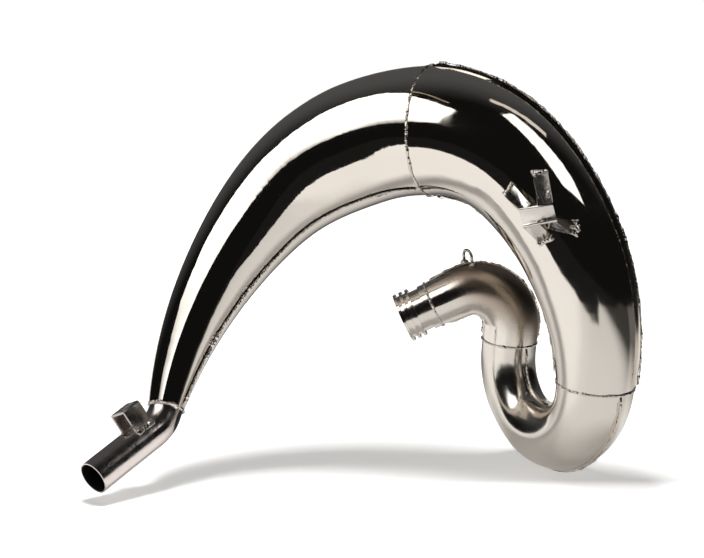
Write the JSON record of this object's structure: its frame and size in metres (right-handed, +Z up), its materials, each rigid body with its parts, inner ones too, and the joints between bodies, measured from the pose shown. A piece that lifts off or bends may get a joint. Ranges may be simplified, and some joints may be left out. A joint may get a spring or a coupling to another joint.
{
  "type": "expansion chamber exhaust pipe",
  "caption": "Nickel plated front exhaust pipe for a two-stroke motocross bike: curved expansion chamber with U bend, ribbed spigot, tail tube and mounting brackets.",
  "frame": {"origin": "centre of the spigot's mouth, where the pipe meets the cylinder", "axes": "+X to the right along the pipe's length, +Y away from the viewer, +Z up"},
  "size_m": [0.503, 0.2176, 0.3847],
  "materials": {
    "nickel": "mirror nickel plate",
    "weld": "plated weld bead",
    "bracket": "dull nickel plated sheet"
  },
  "bodies": {
    "root": {"spigot": "nickel", "header_shell_near": "nickel", "header_shell_far": "nickel", "header_outer_seam_weld": "weld", "header_inner_seam_weld": "weld", "ubend_shell_near": "nickel", "ubend_shell_far": "nickel", "ubend_outer_seam_weld": "weld", "ubend_inner_seam_weld": "weld", "belly_shell_near": "nickel", "belly_shell_far": "nickel", "belly_outer_seam_weld": "weld", "belly_inner_seam_weld": "weld", "cone_shell_near": "nickel", "cone_shell_far": "nickel", "cone_outer_seam_weld": "weld", "cone_inner_seam_weld": "weld", "tail_tube": "nickel", "spigot_girth_weld": "weld", "header_girth_weld": "weld", "ubend_girth_weld": "weld", "belly_girth_weld": "weld", "tail_girth_weld": "weld", "tail_bracket": "bracket", "tail_bracket_weld_near": "weld", "tail_bracket_weld_far": "weld", "spring_hook": "nickel", "spring_hook_weld_near": "weld", "spring_hook_weld_far": "weld", "belly_bracket_weld_upper_left": "weld", "belly_bracket_weld_upper_right": "weld", "belly_bracket_weld_lower_left": "weld", "belly_bracket_weld_lower_right": "weld", "belly_bracket": "bracket"}
  },
  "joints": []
}
